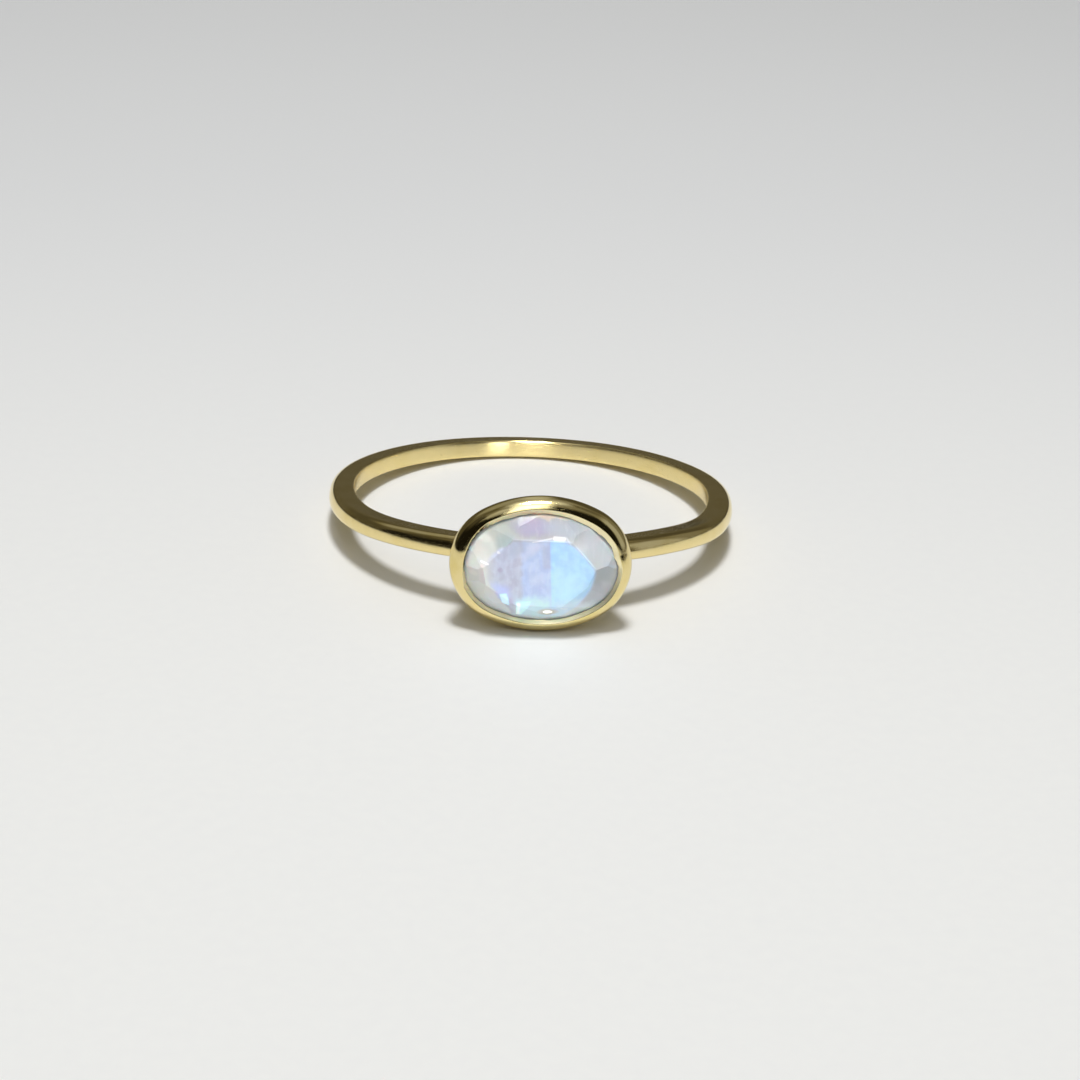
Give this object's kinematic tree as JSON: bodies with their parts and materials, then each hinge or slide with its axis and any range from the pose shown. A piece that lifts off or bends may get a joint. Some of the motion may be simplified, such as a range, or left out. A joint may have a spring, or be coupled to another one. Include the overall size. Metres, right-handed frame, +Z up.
{
  "type": "moonstone ring",
  "caption": "Slim yellow gold finger ring with an oval faceted moonstone set sideways in a plain closed bezel, lying on its side as it rests.",
  "frame": {"origin": "the middle of the ring's box, on the surface that it lies on", "axes": "+Z up; the stone faces -Y and a little upward; +X runs along the stone's length; the finger's axis lies 7.67 degrees off +Z, leaning towards +Y"},
  "size_m": [0.0198, 0.022, 0.0064],
  "materials": {
    "gold": "polished yellow gold with fine wear lines",
    "moonstone": "milky moonstone with a blue sheen, polished facets"
  },
  "bodies": {
    "root": {"gold_ring": "gold", "moonstone": "moonstone"}
  },
  "joints": []
}
